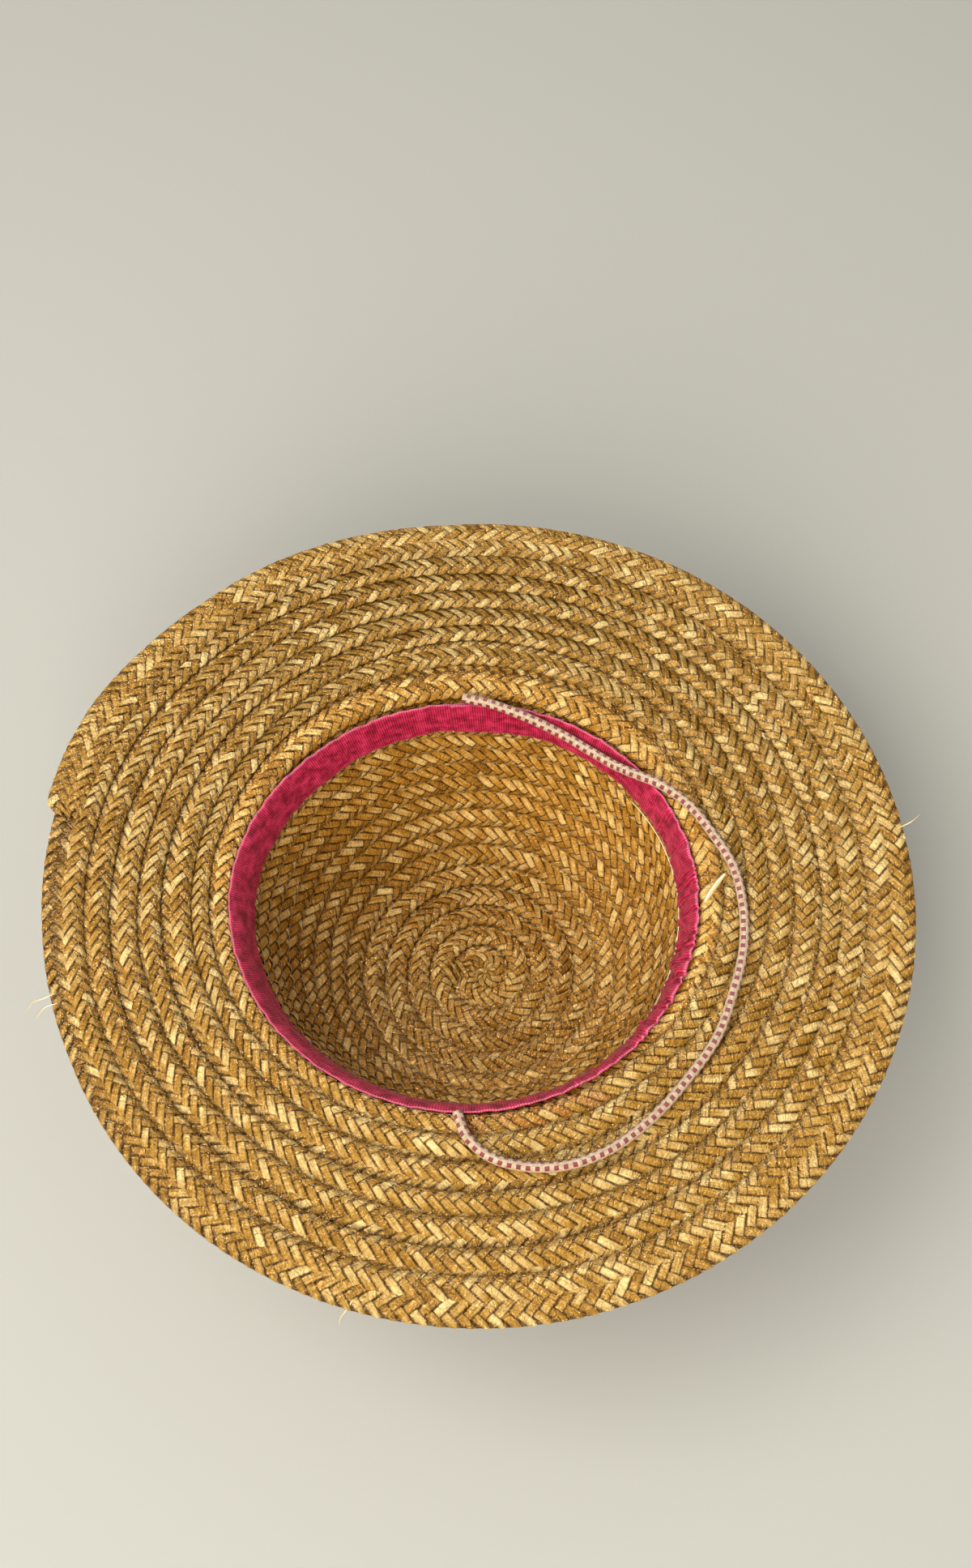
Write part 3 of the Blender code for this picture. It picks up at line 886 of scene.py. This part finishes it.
def elastic_sheath():
    """A braided cotton sheath: cream yarn, dark red dashes 3.4 mm apart in four rows, a fine weave."""
    made, tree, shader = principled("braided_elastic_sheath")
    cord_map = node(tree, "ShaderNodeUVMap", {"uv_map": "Cord"}).outputs[0]
    parts = node(tree, "ShaderNodeSeparateXYZ", Vector=cord_map)
    rows = node(tree, MATH, {"operation": "MULTIPLY"}, i0=parts.outputs[1], i1=4.0).outputs[0]
    row = node(tree, MATH, {"operation": "FLOOR"}, i0=rows).outputs[0]
    odd = node(tree, MATH, {"operation": "MODULO"}, i0=row, i1=2.0).outputs[0]
    steps = node(tree, MATH, {"operation": "MULTIPLY"}, i0=parts.outputs[0], i1=1 / DASH_PITCH).outputs[0]
    offset = node(tree, MATH, SCALED, i0=odd, i1=0.5, i2=steps).outputs[0]
    along = node(tree, MATH, {"operation": "FRACT"}, i0=offset).outputs[0]
    along = node(tree, MATH, {"operation": "LESS_THAN"}, i0=along, i1=0.50).outputs[0]
    side = node(tree, MATH, {"operation": "FRACT"}, i0=rows).outputs[0]
    side = node(tree, MATH, {"operation": "SUBTRACT"}, i0=side, i1=0.5).outputs[0]
    side = node(tree, MATH, {"operation": "ABSOLUTE"}, i0=side).outputs[0]
    side = node(tree, MATH, {"operation": "LESS_THAN"}, i0=side, i1=0.32).outputs[0]
    dash = node(tree, MATH, {"operation": "MULTIPLY"}, i0=along, i1=side).outputs[0]
    # Yarns about 0.5 mm wide
    yarn_at = node(tree, "ShaderNodeMapping", Vector=cord_map, Scale=(2000.0, 24.0, 1.0)).outputs[0]
    yarn = node(tree, "ShaderNodeTexVoronoi", Vector=yarn_at, Scale=1.0).outputs["Distance"]
    fuzz = node(tree, "ShaderNodeTexNoise", Vector=yarn_at, Scale=0.35, Detail=3.0).outputs[0]
    cream = node(tree, "ShaderNodeValToRGB", Fac=fuzz)
    set_stops(cream, (0.3, "#a3825f"), (0.7, "#d6bf9b"))
    red = node(tree, "ShaderNodeValToRGB", Fac=fuzz)
    set_stops(red, (0.3, "#640e14"), (0.7, "#921f24"))
    blend = node(tree, MIX, COLOURS, i0=dash, i6=cream.outputs[0], i7=red.outputs[0])
    tree.links.new(blend.outputs[2], shader.inputs["Base Color"])
    bump = node(tree, "ShaderNodeBump", Height=yarn, Strength=0.5, Distance=0.0002)
    tree.links.new(bump.outputs[0], shader.inputs["Normal"])
    shader.inputs["Roughness"].default_value = 0.85
    shader.inputs["Sheen Weight"].default_value = 0.08
    return made


cord_line = smooth_line(CORD_ROUTE, 480)
cord_tube = tube(cord_line, CORD_DIAMETER / 2, 20, CORD_TWIST, CORD_START)
cord_mesh = joined("chin_cord_elastic", [cord_tube], "Cord")
cord_piece = piece("chin_cord_elastic", cord_mesh, elastic_sheath(), "chin_cord")
print(f"cord: {length_along(cord_line)[-1] * 1000:.1f} mm long")

# %% [markdown]
# ## Seam thread and loose straws
#
# The turns are sewn together with a pale thread, two millimetres in from each inner edge. It goes in
# and out of the straw each 5 mm, so it shows as short stitches. One tube with a wavy lift gives them
# all, which is less work than a mesh for each stitch. A few straws have come loose, and the plait's
# start is folded up on the tip. These are flat, pointed tubes with places of their own.

# %% Thread
STITCH = 0.005
THREAD_RADIUS = 0.00014


def seam(name, first_turn, last_turn, material, stands_for):
    """The thread as one tube. Its lift is 0.3 mm + 0.6 mm times the sine of its way over a stitch."""
    start, end = np.interp([first_turn, last_turn], RULER_TURN, RULER_LENGTH)
    run = np.linspace(start, end, int((end - start) / (STITCH / 4)))
    turn = np.interp(run, RULER_LENGTH, RULER_TURN)
    across = 2 * (0.0022 + 0.0003 * waves(run, (0.021, 0.013, 0.034), 41)) / plait_width(turn) - 1
    lift = 0.0003 + 0.0006 * np.sin(run / STITCH * math.tau)
    mesh = joined(name, [tube(on_plait(turn, across, lift), THREAD_RADIUS, 4)], "Thread")
    piece(name, mesh, material, stands_for)


THREAD = plain_material("waxed_linen_thread", "#8f7444", 0.6)
seam("crown_seam_thread", 2.0, CROWN_TURNS, THREAD, "crown")
seam("brim_seam_thread", CROWN_TURNS, END_TURN - 0.02, THREAD, "brim")

# %% Loose straws
# Half widths, and lines of three or four points, in millimetres: the plait's folded start on the tip
PLAIT_START = (
    (3.00, ((-3.0, -1.0, 1.6), (0.5, -0.6, 2.4), (3.5, -0.4, 2.2), (6.5, 0.0, 1.4))),
    (1.50, ((-19.0, 4.0, 4.6), (-16.0, 1.0, 5.6), (-13.0, -3.0, 5.4), (-11.0, -6.2, 4.2))),
    (0.70, ((-16.0, 7.2, 4.8), (-14.0, 4.0, 6.0), (-11.5, 0.6, 6.0), (-9.0, -3.4, 4.6))),
    (1.20, ((-11.0, 4.6, 4.6), (-9.2, 2.2, 5.6), (-7.4, -0.6, 5.4), (-5.8, -3.6, 4.2))),
)
# A splinter on the right of the brim, and frays at the brim's edge
LOOSE_STRAWS = (
    (1.10, ((86.8, -6.2, 97.4), (89.5, -2.2, 99.2), (92.5, 1.6, 100.3), (95.3, 4.8, 100.8))),
    (0.25, ((-160.0, -44.0, 100.0), (-164.0, -46.2, 100.4), (-168.8, -47.6, 99.0), (-171.2, -50.2, 96.8))),
    (0.22, ((-159.0, -48.0, 99.8), (-164.1, -49.6, 99.0), (-167.2, -53.1, 97.2))),
    (0.25, ((164.0, 24.0, 100.4), (169.0, 26.2, 101.2), (173.6, 30.2, 100.6))),
    (0.25, ((-44.0, -156.0, 100.0), (-46.2, -160.0, 99.4), (-49.0, -163.4, 97.8), (-49.4, -165.2, 96.0))),
)


def slivers(table, power):
    """Flat slivers along a table's lines. Their half width goes as a sine's power, so 0.1 is blunt.

    Their map goes 7.2 mm round, as a splint's does.
    """
    taper = np.sin(np.linspace(0.5, math.pi - 0.25, 14)) ** power
    made = [
        tube(smooth_line(np.array(route) / 1000, 14), radius / 1000 * taper, 6, flat=0.25)
        for radius, route in table
    ]
    return [(points, quads, uv * np.tile((1.0, 4 * FACE_WIDTH), 4)) for points, quads, uv in made]


def loose_straws():
    """The pointed slivers, and one long thin straw under the ribbon's edge."""
    # It lies 17.6 mm down from the head line, and clear of the ridges
    azimuth = np.radians(np.linspace(38, -34, 60))
    along = on_hat(HEAD_LINE - 0.0176 + 0.0007 * np.sin(azimuth * 5), 0.0030, azimuth)
    return joined("loose_straws", slivers(LOOSE_STRAWS, 0.7) + [tube(along, 0.00024, 6, flat=0.6)], "Straw")


piece("loose_straws", loose_straws(), plain_material("pale_loose_straw", "#dcbc7a", 0.3), "brim")
start_mesh = joined("plait_start", slivers(PLAIT_START, 0.1), "Straw")
piece("plait_start", start_mesh, BRIM_STRAW, "crown")

# %% [markdown]
# ## Floor and light
#
# The hat lies on a pale, dull table in daylight. Large area lights give the soft shadow of windows,
# which a sun or a point lamp wouldn't. The table is stage only and isn't part of the model.

# %% Floor and light
floor_mesh = grid_mesh(
    "floor",
    np.array([(-4, -4, 0), (4, -4, 0), (4, 4, 0), (-4, 4, 0)], float),
    np.array([(0, 1, 2, 3)]),
)
floor = bpy.data.objects.new("floor", floor_mesh)
bpy.context.scene.collection.objects.link(floor)
floor_paint = plain_material("matt_white_table", "#b9b8b0", 0.7)
floor_shader = floor_paint.node_tree.nodes["Principled BSDF"]
floor_shader.inputs["Specular IOR Level"].default_value = 0.05
floor_mesh.materials.append(floor_paint)


def soft_light(name, at, aim, size, watts, colour, lights_matt=True):
    """A square area light that points from one place at another, if need be for glints alone."""
    light = bpy.data.lights.new(name, "AREA")
    light.size = size
    light.energy = watts
    light.color = linear(colour)[:3]
    made = bpy.data.objects.new(name, light)
    made.location = at
    made.rotation_euler = (Vector(aim) - Vector(at)).to_track_quat("-Z", "Y").to_euler()
    made.visible_diffuse = lights_matt
    bpy.context.scene.collection.objects.link(made)


# A soft window at the left throws the one faint shadow, to the right. Another on the near side lights
# the far wall of the crown and leaves the near one dark. Four small lamps, which light nothing matt,
# are what the straw's creases glint with.
soft_light("window_left", (-1.0, -0.15, 1.75), (0, 0, 0.06), 1.4, 27, "#fffbf4")
soft_light("window_near", (-0.35, -1.60, 1.32), (0, 0, 0.06), 1.4, 38, "#fffbf4")
LAMPS = (
    ((-0.55, 0.75, 1.6), 55),
    ((0.10, 0.95, 1.6), 40),
    ((0.75, 0.45, 1.7), 18),
    ((-0.90, 0.05, 1.6), 60),
)
for number, (at, watts) in enumerate(LAMPS, 1):
    soft_light(f"lamp_{number}", at, (0, 0, 0.08), 0.2, watts, "#ffffff", False)
bpy.context.scene.view_settings.view_transform = "Standard"

world = bpy.data.worlds.new("soft_room")
bpy.context.scene.world = world
world.use_nodes = True
world.node_tree.nodes["Background"].inputs["Color"].default_value = linear("#f3f2ef")
world.node_tree.nodes["Background"].inputs["Strength"].default_value = 0.46
